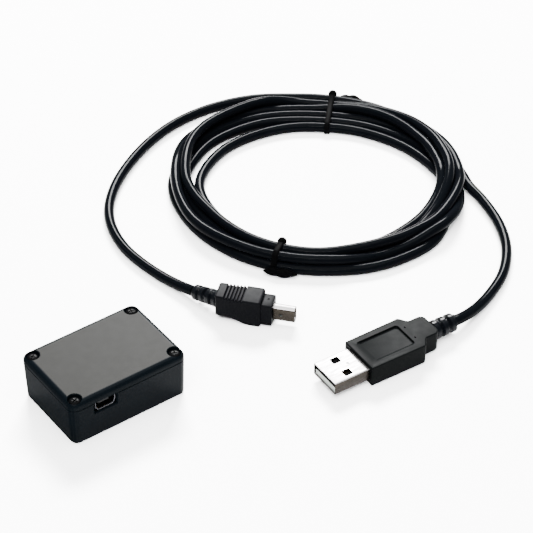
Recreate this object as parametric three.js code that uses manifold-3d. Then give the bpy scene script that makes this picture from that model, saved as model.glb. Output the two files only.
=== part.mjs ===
// A small screwed plastic sensor box with a mini USB port, and its loose USB cable:
// two moulded plugs, a jacket that sweeps wide round one side, a round coil and two ties.
// Millimetres, +Z up. The origin is the centre of the box's underside, X runs along the box,
// and the port is in the -Y wall.
import * as THREE from 'three';
import { mergeVertices } from 'three/addons/utils/BufferGeometryUtils.js';
import Module from 'manifold-3d';

const wasm = await Module();
wasm.setup();

// Box: outer size, wall and the seam between lid and base.
const BOX = { length: 42, width: 30, height: 16.5, wall: 2, corner: 2.8, draft: 0.45 };
const LID = { thickness: 2.6, edgeRadius: 1.8, seam: 0.3, lipDepth: 1.0, lipWidth: 1.1 };
const SCREW = { inset: 2.9, recessRadius: 2.2, recessFloor: 1.1, headRadius: 1.75, headHeight: 0.8,
  shankRadius: 0.8, shankLength: 8.5, holeRadius: 1.15, bossRadius: 2.5 };
const FLOOR_EDGE = 0.6;
const LID_BOTTOM = BOX.height - LID.thickness;
const BASE_TOP = LID_BOTTOM - LID.seam;
const SCREW_X = BOX.length / 2 - SCREW.inset;
const SCREW_Y = BOX.width / 2 - SCREW.inset;

// Circuit board and its port.
const BOARD = { length: 36, width: 25, thickness: 1.6, top: 10, notchX: 2.9, notchY: 3.3, gap: 0.1 };
const POST = { radius: 2.1, holeRadius: 1.05, x: 13.2, y: 9.4 };
const BOARD_SCREW = { headRadius: 1.7, headHeight: 1.1, shankRadius: 0.75, shankLength: 4.5 };
const PORT = { x: -8.9, width: 8, bottom: 9.6, shellWidth: 7.3, shellHeight: 3.6, shellDepth: 10,
  shellWall: 0.35, faceY: -14.5 };

// Cable and coil.
const CABLE_RADIUS = 1.8;
const CABLE_SIDES = 8;
const CABLE_STEP = 8;
const GAP = 0.3;
const COIL = { x: 115.4, y: 44, innerRadius: 36.8, outerRadius: 50.2, bottom: 1.2, top: 8.2, edge: 1.6 };
const TIE = { strap: 0.8, width: 1.8, tailRadius: 1.4, tailLength: 10 };

// USB-A plug: its tip, the way its cable end points, and its moulded body.
const PLUG_A = { x: 56.2, y: -38.5, angle: -3, axisZ: 4, shellWidth: 12, shellHeight: 4.5, shellWall: 0.35,
  exposed: 12.8, buried: 2.2, bodyBottom: 0.3, bodyTop: 7.7, bodyEnd: 41, reliefEnd: 51 };

// Mini plug: it lies on its narrow side, so its wide way is upright.
const PLUG_B = { x: 66.9, y: -8.95, angle: 130.7, axisZ: 4.3, shellHeight: 5.8, shellDepth: 3.05,
  shellFlat: 4.5, shellWall: 0.3, exposed: 7.8, buried: 2.6, collarEnd: 11.2, bodyEnd: 24.6,
  bodyTop: 10, halfDepth: 3.65, collarHalfDepth: 3.2 };

const MATERIALS = {
  lid: { color: 0x4a4a47, roughness: 0.55, metalness: 0 },
  case: { color: 0x111316, roughness: 0.38, metalness: 0 },
  steel: { color: 0xb9b7b2, roughness: 0.3, metalness: 1 },
  board: { color: 0x14532c, roughness: 0.5, metalness: 0 },
  chip: { color: 0x17181a, roughness: 0.6, metalness: 0 },
  ceramic: { color: 0x9a8466, roughness: 0.6, metalness: 0 },
  gold: { color: 0xc9a24a, roughness: 0.3, metalness: 1 },
  lamp: { color: 0xd8e6d4, roughness: 0.4, metalness: 0 },
  insert: { color: 0xc9cdc6, roughness: 0.5, metalness: 0 },
  plug: { color: 0x26282a, roughness: 0.5, metalness: 0 },
  jacket: { color: 0x0c0d10, roughness: 0.25, metalness: 0 },
  tie: { color: 0x0e0f10, roughness: 0.45, metalness: 0 },
};

// ---- solids ----

function toSolid(geometry) {
  const bare = geometry.clone();
  bare.deleteAttribute('normal');
  bare.deleteAttribute('uv');
  const merged = mergeVertices(bare, 1e-5);
  const vertProperties = Float32Array.from(merged.attributes.position.array);
  const triVerts = Uint32Array.from(merged.index.array);
  return new wasm.Manifold(new wasm.Mesh({ numProp: 3, vertProperties, triVerts }));
}

function toGeometry(solid) {
  const mesh = solid.getMesh();
  const geometry = new THREE.BufferGeometry();
  geometry.setAttribute('position', new THREE.BufferAttribute(mesh.vertProperties, 3));
  geometry.setIndex(new THREE.BufferAttribute(mesh.triVerts, 1));
  geometry.computeVertexNormals();
  return geometry;
}

function join(...geometries) {
  return toGeometry(geometries.map(toSolid).reduce((all, one) => all.add(one)));
}

function cut(geometry, ...tools) {
  return toGeometry(tools.map(toSolid).reduce((rest, tool) => rest.subtract(tool), toSolid(geometry)));
}

function box(lengthX, lengthY, lengthZ, x = 0, y = 0, z = 0) {
  return new THREE.BoxGeometry(lengthX, lengthY, lengthZ).translate(x, y, z);
}

// A box from its lowest corner to its highest.
function span(low, high) {
  const size = high.map((value, i) => value - low[i]);
  const middle = high.map((value, i) => (value + low[i]) / 2);
  return box(...size, ...middle);
}

function post(radius, bottom, top, x, y, sides = 20) {
  const geometry = new THREE.CylinderGeometry(radius, radius, top - bottom, sides);
  return geometry.rotateX(Math.PI / 2).translate(x, y, (top + bottom) / 2);
}

function roundedRect(width, height, radius) {
  const shape = new THREE.Shape();
  const right = width / 2 - radius;
  const top = height / 2 - radius;
  shape.absarc(right, top, radius, 0, Math.PI / 2);
  shape.absarc(-right, top, radius, Math.PI / 2, Math.PI);
  shape.absarc(-right, -top, radius, Math.PI, Math.PI * 1.5);
  shape.absarc(right, -top, radius, Math.PI * 1.5, Math.PI * 2);
  return shape;
}

function plate(shape, bottom, top, curveSegments = 4) {
  const options = { depth: top - bottom, bevelEnabled: false, curveSegments };
  return new THREE.ExtrudeGeometry(shape, options).translate(0, 0, bottom);
}

// A plate whose edges are rounded at top and bottom, inside the stated outline.
function cushionedPlate(length, width, corner, bottom, top, radius, segments = 4) {
  const shape = roundedRect(length - 2 * radius, width - 2 * radius, Math.max(corner - radius, 0.3));
  const options = { depth: top - bottom - 2 * radius, bevelEnabled: true, bevelThickness: radius,
    bevelSize: radius, bevelSegments: segments, curveSegments: 4 };
  return new THREE.ExtrudeGeometry(shape, options).translate(0, 0, bottom + radius);
}

// Draws the walls in toward the bottom by inset, as a moulding is drafted.
function drafted(geometry, inset, height, halfLength, halfWidth) {
  const position = geometry.attributes.position;
  for (let i = 0; i < position.count; i += 1) {
    const depth = 1 - Math.min(position.getZ(i) / height, 1);
    const x = position.getX(i) * (1 - inset * depth / halfLength);
    const y = position.getY(i) * (1 - inset * depth / halfWidth);
    position.setXY(i, x, y);
  }
  return geometry;
}

// Stands an outline drawn in X and Z upright, from y = -half to y = +half.
function uprightPlate(shape, half, curveSegments = 4) {
  const options = { depth: 2 * half, bevelEnabled: false, curveSegments };
  return new THREE.ExtrudeGeometry(shape, options).rotateX(Math.PI / 2).translate(0, half, 0);
}

// Turns a profile of [distance along, radius] pairs about the local X axis.
function turned(profile, sides = 14) {
  const points = profile.map(([along, radius]) => new THREE.Vector2(radius, along));
  return new THREE.LatheGeometry(points, sides).rotateZ(-Math.PI / 2);
}

function outline(points) {
  return new THREE.Shape(points.map(([x, y]) => new THREE.Vector2(x, y)));
}

function corners(action) {
  return [[-1, -1], [1, -1], [1, 1], [-1, 1]].map(([x, y]) => action(x, y));
}

function piece(name, geometry, material) {
  const mesh = new THREE.Mesh(geometry, new THREE.MeshStandardMaterial(MATERIALS[material]));
  mesh.name = name;
  return mesh;
}

// ---- box ----

function enclosureBase() {
  const { length, width, wall, corner, draft } = BOX;
  const blank = cushionedPlate(length, width, corner, 0, BASE_TOP + 2, FLOOR_EDGE, 2);
  const outer = drafted(blank, draft, BASE_TOP, length / 2, width / 2);
  const body = cut(outer, span([-length, -width, BASE_TOP], [length, width, BASE_TOP + 4]));
  const cavity = plate(roundedRect(length - 2 * wall, width - 2 * wall, 1), wall, BASE_TOP + 1, 2);
  const bosses = corners((x, y) => post(SCREW.bossRadius, 0, BASE_TOP + 1, x * SCREW_X, y * SCREW_Y));
  const boardBottom = BOARD.top - BOARD.thickness;
  const posts = corners((x, y) => post(POST.radius, 0, boardBottom - BOARD.gap, x * POST.x, y * POST.y));
  const bossHoles = corners((x, y) =>
    post(SCREW.holeRadius, 4.5, BASE_TOP + 1, x * SCREW_X, y * SCREW_Y, 12));
  const postHoles = [[-1, 1], [1, -1]].map(([x, y]) =>
    post(POST.holeRadius, 3.5, boardBottom + 1, x * POST.x, y * POST.y, 12));
  const half = PORT.width / 2;
  const port = span([PORT.x - half, -width, PORT.bottom],
    [PORT.x + half, -width / 2 + wall + 0.5, BASE_TOP + 1]);
  const room = cut(cavity, ...bosses, ...posts);
  return piece('enclosure_base', cut(body, room, ...bossHoles, ...postHoles, port), 'case');
}

function enclosureLid() {
  const { length, width, height, wall, corner } = BOX;
  const blank = cushionedPlate(length, width, corner, LID_BOTTOM - 4, height, LID.edgeRadius, 5);
  const top = cut(blank, span([-length, -width, 0], [length, width, LID_BOTTOM]));
  const lipBottom = LID_BOTTOM - LID.lipDepth;
  const inner = { x: length / 2 - wall - 0.4, y: width / 2 - wall - 0.4 };
  const clear = SCREW.bossRadius + 0.5;
  const rail = (x0, y0, x1, y1) => span([x0, y0, lipBottom], [x1, y1, LID_BOTTOM + 0.5]);
  const portEnd = PORT.x + PORT.width / 2 + 1;
  const rails = [
    rail(-SCREW_X + clear, inner.y - LID.lipWidth, SCREW_X - clear, inner.y),
    rail(portEnd, -inner.y, SCREW_X - clear, -inner.y + LID.lipWidth),
    rail(inner.x - LID.lipWidth, -SCREW_Y + clear, inner.x, SCREW_Y - clear),
    rail(-inner.x, -SCREW_Y + clear, -inner.x + LID.lipWidth, SCREW_Y - clear),
  ];
  const floor = LID_BOTTOM + SCREW.recessFloor;
  const recesses = corners((x, y) => post(SCREW.recessRadius, floor, height + 1, x * SCREW_X, y * SCREW_Y));
  const holes = corners((x, y) =>
    post(SCREW.holeRadius, LID_BOTTOM - 1, height, x * SCREW_X, y * SCREW_Y, 12));
  return piece('enclosure_lid', cut(join(top, ...rails), ...recesses, ...holes), 'lid');
}

// A pan-head screw with a cross slot, standing on the plane z = 0.
function screw({ headRadius, headHeight, shankRadius, shankLength }) {
  const dome = headHeight * 0.6;
  const profile = [[-shankLength, 0], [-shankLength + 0.6, shankRadius], [0, shankRadius], [0, headRadius],
    [dome, headRadius], [headHeight, headRadius * 0.7], [headHeight, 0]];
  const points = profile.map(([z, radius]) => new THREE.Vector2(radius, z));
  const body = new THREE.LatheGeometry(points, 16).rotateX(Math.PI / 2);
  const slot = headRadius * 1.1;
  const depth = headHeight * 0.5;
  return cut(body, box(slot, 0.4, depth, 0, 0, headHeight), box(0.4, slot, depth, 0, 0, headHeight));
}

function lidScrews() {
  const seat = LID_BOTTOM + SCREW.recessFloor + GAP / 3;
  const names = ['front_left', 'front_right', 'back_right', 'back_left'];
  return corners((x, y) => [x * SCREW_X, y * SCREW_Y]).map(([x, y], i) =>
    piece(`lid_screw_${names[i]}`, screw(SCREW).translate(x, y, seat), 'steel'));
}

// ---- circuit board ----

function circuitBoard() {
  const x = BOARD.length / 2;
  const y = BOARD.width / 2;
  const nx = x - BOARD.notchX;
  const ny = y - BOARD.notchY;
  const shape = outline([[nx, -y], [nx, -ny], [x, -ny], [x, ny], [nx, ny], [nx, y], [-nx, y], [-nx, ny],
    [-x, ny], [-x, -ny], [-nx, -ny], [-nx, -y]]);
  const holes = [[-1, 1], [1, -1]].map(([sx, sy]) =>
    post(BOARD_SCREW.shankRadius + 0.3, 0, BOARD.top + 1, sx * POST.x, sy * POST.y, 12));
  const blank = plate(shape, BOARD.top - BOARD.thickness, BOARD.top);
  return piece('circuit_board', cut(blank, ...holes), 'board');
}

function boardScrews() {
  return [['left', -1, 1], ['right', 1, -1]].map(([side, x, y]) =>
    piece(`board_screw_${side}`,
      screw(BOARD_SCREW).translate(x * POST.x, y * POST.y, BOARD.top + BOARD.gap), 'steel'));
}

function receptacle() {
  const { x, shellWidth, shellHeight, shellDepth, shellWall, faceY } = PORT;
  const bottom = BOARD.top + BOARD.gap;
  const back = faceY + shellDepth;
  const wide = shellWidth / 2;
  const narrow = wide - 0.8;
  const section = (inset) => outline([[-wide + inset, shellHeight - inset], [-wide + inset, 1.4],
    [-narrow + inset, inset], [narrow - inset, inset], [wide - inset, 1.4],
    [wide - inset, shellHeight - inset]]);
  const upright = (inset, reach) => new THREE.ExtrudeGeometry(section(inset), { depth: shellDepth + reach,
    bevelEnabled: false }).rotateX(Math.PI / 2).translate(x, back + reach / 2, bottom);
  const shell = cut(upright(0, 0), upright(shellWall, 2));
  const inner = shellWall + 0.15;
  const stub = span([x - narrow + inner, back - 3.2, bottom + inner],
    [x + narrow - inner, back - 0.2, bottom + shellHeight - inner]);
  const tongue = span([x - 1.9, faceY + 1.2, bottom + 1.4], [x + 1.9, back - 3, bottom + 2.3]);
  return [piece('usb_receptacle_shell', shell, 'steel'),
    piece('usb_receptacle_tongue', join(stub, tongue), 'insert')];
}

// A chip body with small legs on the sides that have any.
function chip(name, x, y, { length, width, height, legsX = 0, legsY = 0, pitch = 0.8, material = 'chip' }) {
  const bottom = BOARD.top + BOARD.gap;
  const body = box(length, width, height - 0.15, x, y, bottom + height / 2 + 0.075);
  const legs = [];
  const addRow = (count, place) => {
    for (let i = 0; i < count; i += 1) {
      legs.push(place((i - (count - 1) / 2) * pitch));
    }
  };
  const legLength = 0.7;
  const legWidth = 0.3;
  [-1, 1].forEach((side) => {
    addRow(legsX, (step) => box(legLength + 0.4, legWidth, 0.5,
      x + side * (length / 2 + legLength / 2 - 0.2), y + step, bottom + 0.25));
    addRow(legsY, (step) => box(legWidth, legLength + 0.4, 0.5,
      x + step, y + side * (width / 2 + legLength / 2 - 0.2), bottom + 0.25));
  });
  return piece(name, legs.length > 0 ? join(body, ...legs) : body, material);
}

function boardParts() {
  const parts = [
    chip('microcontroller', 2.5, 1.2, { length: 7, width: 7, height: 1.2, legsX: 8, legsY: 8, pitch: 0.8 }),
    chip('usb_bridge_chip', -9, 4, { length: 5.3, width: 7.2, height: 1.6, legsX: 9, pitch: 0.7 }),
    chip('voltage_regulator', 12.6, 3.2, { length: 3.5, width: 6.5, height: 1.6, legsX: 3, pitch: 2.3 }),
    chip('crystal', 2.5, -6.4, { length: 5, width: 3.2, height: 1.1, material: 'steel' }),
    chip('status_light', 8.6, -10.4, { length: 1.6, width: 0.8, height: 0.8, material: 'lamp' }),
  ];
  const small = [['capacitor', 2, 1.25, 1.2, 'ceramic'], ['resistor', 1.6, 0.8, 0.6, 'chip']];
  small.forEach(([kind, length, width, height, material], row) => {
    for (let i = 0; i < 4; i += 1) {
      const name = `${kind}_${i + 1}`;
      parts.push(chip(name, -4 + 3.4 * i, 8 + 2.4 * row, { length, width, height, material }));
    }
  });
  return parts;
}

// ---- USB-A plug, its local X running back from the tip ----

function plugAShell() {
  const { axisZ, shellWidth, shellHeight, shellWall, exposed, buried } = PLUG_A;
  const half = { y: shellWidth / 2, z: shellHeight / 2 };
  const end = exposed + buried;
  const outer = span([0, -half.y, axisZ - half.z], [end, half.y, axisZ + half.z]);
  const bore = span([-1, -half.y + shellWall, axisZ - half.z + shellWall],
    [end + 1, half.y - shellWall, axisZ + half.z - shellWall]);
  const windows = [-1, 1].map((side) => box(2.3, 2.3, 10, 6.3, side * 3.25, axisZ));
  return piece('usb_a_shell', cut(outer, bore, ...windows), 'steel');
}

function plugAInside() {
  const { axisZ, shellHeight, shellWall, exposed, buried } = PLUG_A;
  const bottom = axisZ - shellHeight / 2 + shellWall + 0.1;
  const top = bottom + 1.8;
  const block = span([0.5, -5.45, bottom], [exposed + buried - 0.5, 5.45, top]);
  const tongue = piece('usb_a_tongue', block, 'insert');
  const contacts = [-3.5, -1, 1, 3.5].map((y, i) => piece(`usb_a_contact_${i + 1}`,
    span([Math.abs(y) > 2 ? 1.4 : 2.4, y - 0.5, top + 0.05], [10, y + 0.5, top + 0.25]), 'gold'));
  return [tongue, ...contacts];
}

function plugABody() {
  const { axisZ, shellWidth, shellHeight, exposed, buried, bodyBottom, bodyTop, bodyEnd } = PLUG_A;
  const edge = 0.5;
  const halfFront = 7.6 - edge;
  const halfBack = 7.8 - edge;
  const halfNeck = 4.9 - edge;
  const shape = new THREE.Shape();
  shape.moveTo(exposed + edge, -halfFront);
  shape.lineTo(32, -halfBack);
  shape.quadraticCurveTo(34.8, -halfBack, 35, -halfNeck - 0.9);
  shape.quadraticCurveTo(36.2, -halfNeck + 0.3, bodyEnd - edge - 1.6, -halfNeck - 0.4);
  shape.quadraticCurveTo(bodyEnd - edge, -halfNeck, bodyEnd - edge, -halfNeck + 2);
  shape.lineTo(bodyEnd - edge, halfNeck - 2);
  shape.quadraticCurveTo(bodyEnd - edge, halfNeck, bodyEnd - edge - 1.6, halfNeck + 0.4);
  shape.quadraticCurveTo(36.2, halfNeck - 0.3, 35, halfNeck + 0.9);
  shape.quadraticCurveTo(34.8, halfBack, 32, halfBack);
  shape.lineTo(exposed + edge, halfFront);
  const options = { depth: bodyTop - bodyBottom - 2 * edge, bevelEnabled: true, bevelThickness: edge,
    bevelSize: edge, bevelSegments: 2, curveSegments: 5 };
  const blank = new THREE.ExtrudeGeometry(shape, options).translate(0, 0, bodyBottom + edge);
  const pocket = span([0, -shellWidth / 2 - GAP, axisZ - shellHeight / 2 - GAP],
    [exposed + buried + GAP, shellWidth / 2 + GAP, axisZ + shellHeight / 2 + GAP]);
  const panel = span([15.5, -5, bodyTop - 0.5], [31, 5, bodyTop + 1]);
  return piece('usb_a_overmould', cut(blank, pocket, panel), 'plug');
}

// A ribbed, slightly tapered sleeve along local X, starting at x = 0.
function reliefProfile(length, startRadius, endRadius, ribs) {
  const profile = [[0, 0], [0, startRadius]];
  const pitch = length / (ribs + 0.5);
  for (let i = 0; i < ribs; i += 1) {
    const radius = startRadius + (endRadius - startRadius) * (i + 1) / ribs;
    const groove = (i + 0.35) * pitch;
    profile.push([groove, radius * 0.82], [groove + 0.2 * pitch, radius * 0.82]);
    profile.push([groove + 0.35 * pitch, radius * 1.06], [groove + 0.8 * pitch, radius * 1.06]);
  }
  profile.push([length, endRadius], [length, 0]);
  return profile;
}

function plugA() {
  const group = new THREE.Group();
  group.position.set(PLUG_A.x, PLUG_A.y, 0);
  group.rotation.z = THREE.MathUtils.degToRad(PLUG_A.angle);
  const length = PLUG_A.reliefEnd - PLUG_A.bodyEnd - GAP;
  const sleeve = turned(reliefProfile(length, 3.2, 2.9, 3));
  const relief = sleeve.translate(PLUG_A.bodyEnd + GAP, 0, PLUG_A.axisZ);
  group.add(plugAShell(), ...plugAInside(), plugABody(), piece('usb_a_strain_relief', relief, 'plug'));
  return group;
}

// ---- mini plug, its local X running back from the tip ----

function plugBShell() {
  const { axisZ, shellHeight, shellDepth, shellFlat, shellWall, exposed, buried } = PLUG_B;
  const section = (inset) => {
    const y = shellDepth / 2 - inset;
    const flat = shellFlat / 2 - inset;
    const tall = shellHeight / 2 - inset;
    return outline([[-y, -flat], [-y * 0.3, -tall], [y * 0.3, -tall], [y, -flat], [y, flat],
      [y * 0.3, tall], [-y * 0.3, tall], [-y, flat]]);
  };
  const along = (inset, start, end) => new THREE.ExtrudeGeometry(section(inset), { depth: end - start,
    bevelEnabled: false }).rotateX(Math.PI / 2).rotateZ(Math.PI / 2).translate(start, 0, axisZ);
  const end = exposed + buried;
  const shell = cut(along(0, 0, end), along(shellWall, -1, end + 1));
  const tongue = span([0.8, -0.5, axisZ - 1.9], [end - 0.3, 0.5, axisZ + 1.9]);
  return [piece('mini_plug_shell', shell, 'steel'), piece('mini_plug_tongue', tongue, 'insert')];
}

function plugBBody() {
  const { axisZ, shellHeight, shellDepth, exposed, buried, collarEnd, bodyEnd, bodyTop, halfDepth,
    collarHalfDepth } = PLUG_B;
  const side = new THREE.Shape();
  side.moveTo(collarEnd, 0.6);
  side.quadraticCurveTo(collarEnd + 0.4, 0, collarEnd + 2, 0);
  side.bezierCurveTo(collarEnd + 5, 0, bodyEnd - 7, 1.7, bodyEnd - 3.5, 1.8);
  side.lineTo(bodyEnd, 1.8);
  side.lineTo(bodyEnd, bodyTop - 0.8);
  side.lineTo(bodyEnd - 0.8, bodyTop);
  side.lineTo(collarEnd + 0.8, bodyTop);
  side.lineTo(collarEnd, bodyTop - 0.8);
  const body = uprightPlate(side, halfDepth, 6);
  const collar = span([exposed, -collarHalfDepth, 0.6], [collarEnd + 1, collarHalfDepth, 8.5]);
  const pocket = span([0, -shellDepth / 2 - GAP, axisZ - shellHeight / 2 - GAP],
    [exposed + buried + GAP, shellDepth / 2 + GAP, axisZ + shellHeight / 2 + GAP]);
  const grooves = [0, 1, 2, 3, 4].map((i) => box(0.6, 20, 1, collarEnd + 6 + 1.5 * i, 0, bodyTop));
  return piece('mini_plug_overmould', cut(join(body, collar), pocket, ...grooves), 'plug');
}

function plugB() {
  const group = new THREE.Group();
  group.position.set(PLUG_B.x, PLUG_B.y, 0);
  group.rotation.z = THREE.MathUtils.degToRad(PLUG_B.angle);
  group.add(...plugBShell(), plugBBody());
  return group;
}

// The mini plug's sleeve bends away from the plug towards the jacket.
const RELIEF_B = { start: new THREE.Vector3(50.1, 11.3, 5.4), end: new THREE.Vector3(47.6, 20.4, 3.4) };

function plugBRelief() {
  const way = RELIEF_B.end.clone().sub(RELIEF_B.start);
  const mesh = piece('mini_plug_strain_relief', turned(reliefProfile(way.length(), 2.6, 2.5, 3)), 'plug');
  mesh.position.copy(RELIEF_B.start);
  mesh.quaternion.setFromUnitVectors(new THREE.Vector3(1, 0, 0), way.normalize());
  return mesh;
}

// ---- jacket, coil and ties ----

// From the mini plug's sleeve, down to the table and wide round the left side to the coil.
const LEAD_MINI = [[47.5, 20.8, 3.3], [46, 26.5, 2.5], [44.4, 33.5, 1.95], [42.8, 43, 1.85], [42.4, 54, 1.85],
  [44.6, 65, 1.85], [49, 74.2, 1.85], [56.6, 83, 1.85], [67, 91, 1.85], [81, 98.4, 1.85], [95, 102.6, 1.85],
  [108.5, 103.2, 1.85], [121.5, 100.6, 1.85], [131, 96.3, 1.85], [137.6, 91.7, 1.85]];

// From the coil's right side, out round the right and back to the USB-A plug's sleeve.
const LEAD_A = [[157.7, 13.2, 1.85], [156.3, 3.4, 1.85], [152.4, -9.8, 1.85], [146, -21, 1.85],
  [136.6, -30.2, 1.85], [126.4, -35.8, 1.95], [117.6, -39.2, 2.6], [111, -40.9, 3.6], [107.5, -41.2, 4]];

function lead(name, route) {
  const points = route.map((point) => new THREE.Vector3(...point));
  const curve = new THREE.CatmullRomCurve3(points, false, 'centripetal');
  const section = new THREE.Shape();
  section.absarc(0, 0, CABLE_RADIUS, 0, Math.PI * 2);
  const steps = Math.round(curve.getLength() / CABLE_STEP);
  const options = { extrudePath: curve, steps, bevelEnabled: false, curveSegments: CABLE_SIDES };
  return piece(name, new THREE.ExtrudeGeometry(section, options), 'jacket');
}

function coil() {
  const { innerRadius, outerRadius, bottom, top, edge } = COIL;
  const profile = [[innerRadius + edge, bottom], [outerRadius - edge, bottom], [outerRadius, bottom + edge],
    [outerRadius, top - edge], [outerRadius - edge, top], [innerRadius + edge, top],
    [innerRadius, top - edge], [innerRadius, bottom + edge], [innerRadius + edge, bottom]];
  const points = profile.map(([radius, z]) => new THREE.Vector2(radius, z));
  const ring = new THREE.LatheGeometry(points, 48).rotateX(Math.PI / 2).translate(COIL.x, COIL.y, 0);
  return piece('cable_coil', ring, 'jacket');
}

// A closed strap round the coil's section, with a twisted tail beside it. Local X is radial.
function tie(name, angle, tailSide) {
  const { strap, width, tailRadius, tailLength } = TIE;
  const middle = (COIL.innerRadius + COIL.outerRadius) / 2;
  const half = (COIL.outerRadius - COIL.innerRadius) / 2 + GAP;
  const low = COIL.bottom - GAP;
  const high = COIL.top + GAP;
  const outer = span([middle - half - strap, -width / 2, low - strap],
    [middle + half + strap, width / 2, high + strap]);
  const hole = span([middle - half, -width, low], [middle + half, width, high]);
  const tail = new THREE.CapsuleGeometry(tailRadius, tailLength - 2 * tailRadius, 2, 8)
    .translate(middle + half + strap + tailRadius - 0.3, tailSide * tailLength / 2, tailRadius + 1);
  const mesh = piece(name, join(cut(outer, hole), tail), 'tie');
  mesh.position.set(COIL.x, COIL.y, 0);
  mesh.rotation.z = THREE.MathUtils.degToRad(angle);
  return mesh;
}

const module = new THREE.Group();
module.name = 'sensor_module';
module.add(enclosureBase(), enclosureLid(), ...lidScrews(), circuitBoard(), ...boardScrews(),
  ...receptacle(), ...boardParts());

const cable = new THREE.Group();
cable.name = 'usb_cable';
cable.add(plugA(), plugB(), plugBRelief(), lead('cable_lead_mini', LEAD_MINI), coil(),
  lead('cable_lead_a', LEAD_A), tie('tie_front', -144.5, 1), tie('tie_back', 46.8, -1));

const group = new THREE.Group();
group.add(module, cable);

export default group;
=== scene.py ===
"""A small screwed plastic sensor box with a mini USB port, and its coiled USB cable.

Lengths are millimetres until a mesh is made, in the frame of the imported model.
"""
import math

import bpy
import numpy as np
from mathutils import Matrix, Vector


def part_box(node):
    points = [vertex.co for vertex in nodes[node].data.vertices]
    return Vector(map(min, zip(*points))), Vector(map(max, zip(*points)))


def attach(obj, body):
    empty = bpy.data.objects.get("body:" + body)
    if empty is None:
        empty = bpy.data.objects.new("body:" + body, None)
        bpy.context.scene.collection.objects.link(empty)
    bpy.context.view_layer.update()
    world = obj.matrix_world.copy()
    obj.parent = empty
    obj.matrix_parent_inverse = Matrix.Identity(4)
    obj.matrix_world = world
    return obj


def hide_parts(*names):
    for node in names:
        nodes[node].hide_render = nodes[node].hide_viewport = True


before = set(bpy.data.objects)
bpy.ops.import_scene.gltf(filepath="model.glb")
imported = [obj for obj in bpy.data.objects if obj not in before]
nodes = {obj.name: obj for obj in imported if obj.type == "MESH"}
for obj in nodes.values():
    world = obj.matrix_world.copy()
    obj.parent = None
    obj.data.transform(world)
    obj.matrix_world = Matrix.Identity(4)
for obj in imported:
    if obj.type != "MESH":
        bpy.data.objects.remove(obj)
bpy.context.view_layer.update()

MM = 0.001
scene = bpy.context.scene

# ---- camera ----

CAMERA_PLACE = (-253.8, -435.4, 470.0)
CAMERA_TARGET = (76.5, 20.2, 0)
SENSOR = 36
LENS = 148.6
CLIP = (0.01, 20)


def aim(thing, place, target):
    """Puts a camera or light at place, looking at target, both in millimetres."""
    thing.location = Vector(place) * MM
    thing.rotation_mode = "QUATERNION"
    thing.rotation_quaternion = (Vector(target) - Vector(place)).to_track_quat("-Z", "Y")


def make_camera():
    data = bpy.data.cameras.new("camera")
    data.sensor_width = SENSOR
    data.lens = LENS
    data.clip_start, data.clip_end = CLIP
    camera = bpy.data.objects.new("camera", data)
    scene.collection.objects.link(camera)
    aim(camera, CAMERA_PLACE, CAMERA_TARGET)
    scene.camera = camera


make_camera()

# ---- cable route ----

CABLE_RADIUS = 1.8
COIL_CENTRE = (115.4, 44.0)
# The coil's back, in degrees from X, and how many places fix each turn.
COIL_BACK = 54.06
STATIONS = 12

# From the mini plug's sleeve, down to the table and wide round the left side to the coil.
LEAD_MINI = [(47.5, 20.8, 3.3), (46, 26.5, 2.5), (44.4, 33.5, 1.95), (42.8, 43, 1.85), (42.4, 54, 1.85),
             (44.6, 65, 1.85), (49, 74.2, 1.85), (56.6, 83, 1.85), (67, 91, 1.85), (81, 98.4, 1.85),
             (95, 102.6, 1.85), (108.5, 103.2, 1.85), (121.5, 100.6, 1.85), (131, 96.3, 1.85)]

# From the coil's right side, out round the right and back to the USB-A plug's sleeve.
LEAD_A = [(157.7, 13.2, 1.85), (156.3, 3.4, 1.85), (152.4, -9.8, 1.85), (146, -21, 1.85),
          (136.6, -30.2, 1.85), (126.4, -35.8, 1.95), (117.6, -39.2, 2.6), (111, -40.9, 3.6),
          (107.5, -41.2, 4), (104.5, -41.05, 4)]

# Where each turn lies at the stations round the coil, clockwise from its back: (radius, height). Strands
# that would sink into the table or each other are moved clear when the route settles.
TURNS = [
    [(50.6, 1.7), (49.7, 1.7), (49.2, 4.2), (49.5, 4.7), (46.2, 5.0), (41.6, 4.7),
     (40.8, 4.5), (40.4, 4.5), (41.0, 4.5), (45.9, 6.0), (48.6, 6.4), (48.5, 4.6)],
    [(47.8, 1.7), (46.8, 4.0), (45.7, 6.8), (45.6, 6.9), (42.2, 3.0), (41.4, 1.7),
     (42.5, 1.7), (41.8, 1.7), (42.6, 1.7), (46.1, 1.7), (45.3, 1.7), (41.4, 1.7)],
    [(38.0, 1.7), (39.2, 1.7), (42.9, 1.7), (48.7, 1.7), (49.2, 4.2), (44.6, 2.4),
     (44.1, 4.5), (45.6, 4.5), (48.3, 4.6), (49.0, 4.5), (50.3, 3.3), (48.2, 1.7)],
    [(44.6, 1.7), (44.5, 4.5), (43.8, 4.7), (43.5, 4.4), (39.9, 1.7), (38.2, 1.7),
     (39.3, 1.7), (38.4, 1.7), (38.8, 1.7), (40.8, 1.7), (38.5, 1.7), (35.6, 1.7)],
    [(34.6, 1.7), (35.2, 1.7), (39.0, 1.7), (45.2, 1.7), (48.9, 1.7), (48.4, 1.7),
     (46.3, 1.7), (46.4, 1.7), (48.0, 1.7), (49.9, 1.7), (48.3, 1.7), (44.7, 1.7)],
]
# The last strand's way out under the right side: (turns, radius, height).
WAY_OUT = [(0, 41.3, 1.7), (1 / 12, 42.3, 1.7), (1 / 6, 46.7, 1.7), (0.21, 49.7, 1.7)]

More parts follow.
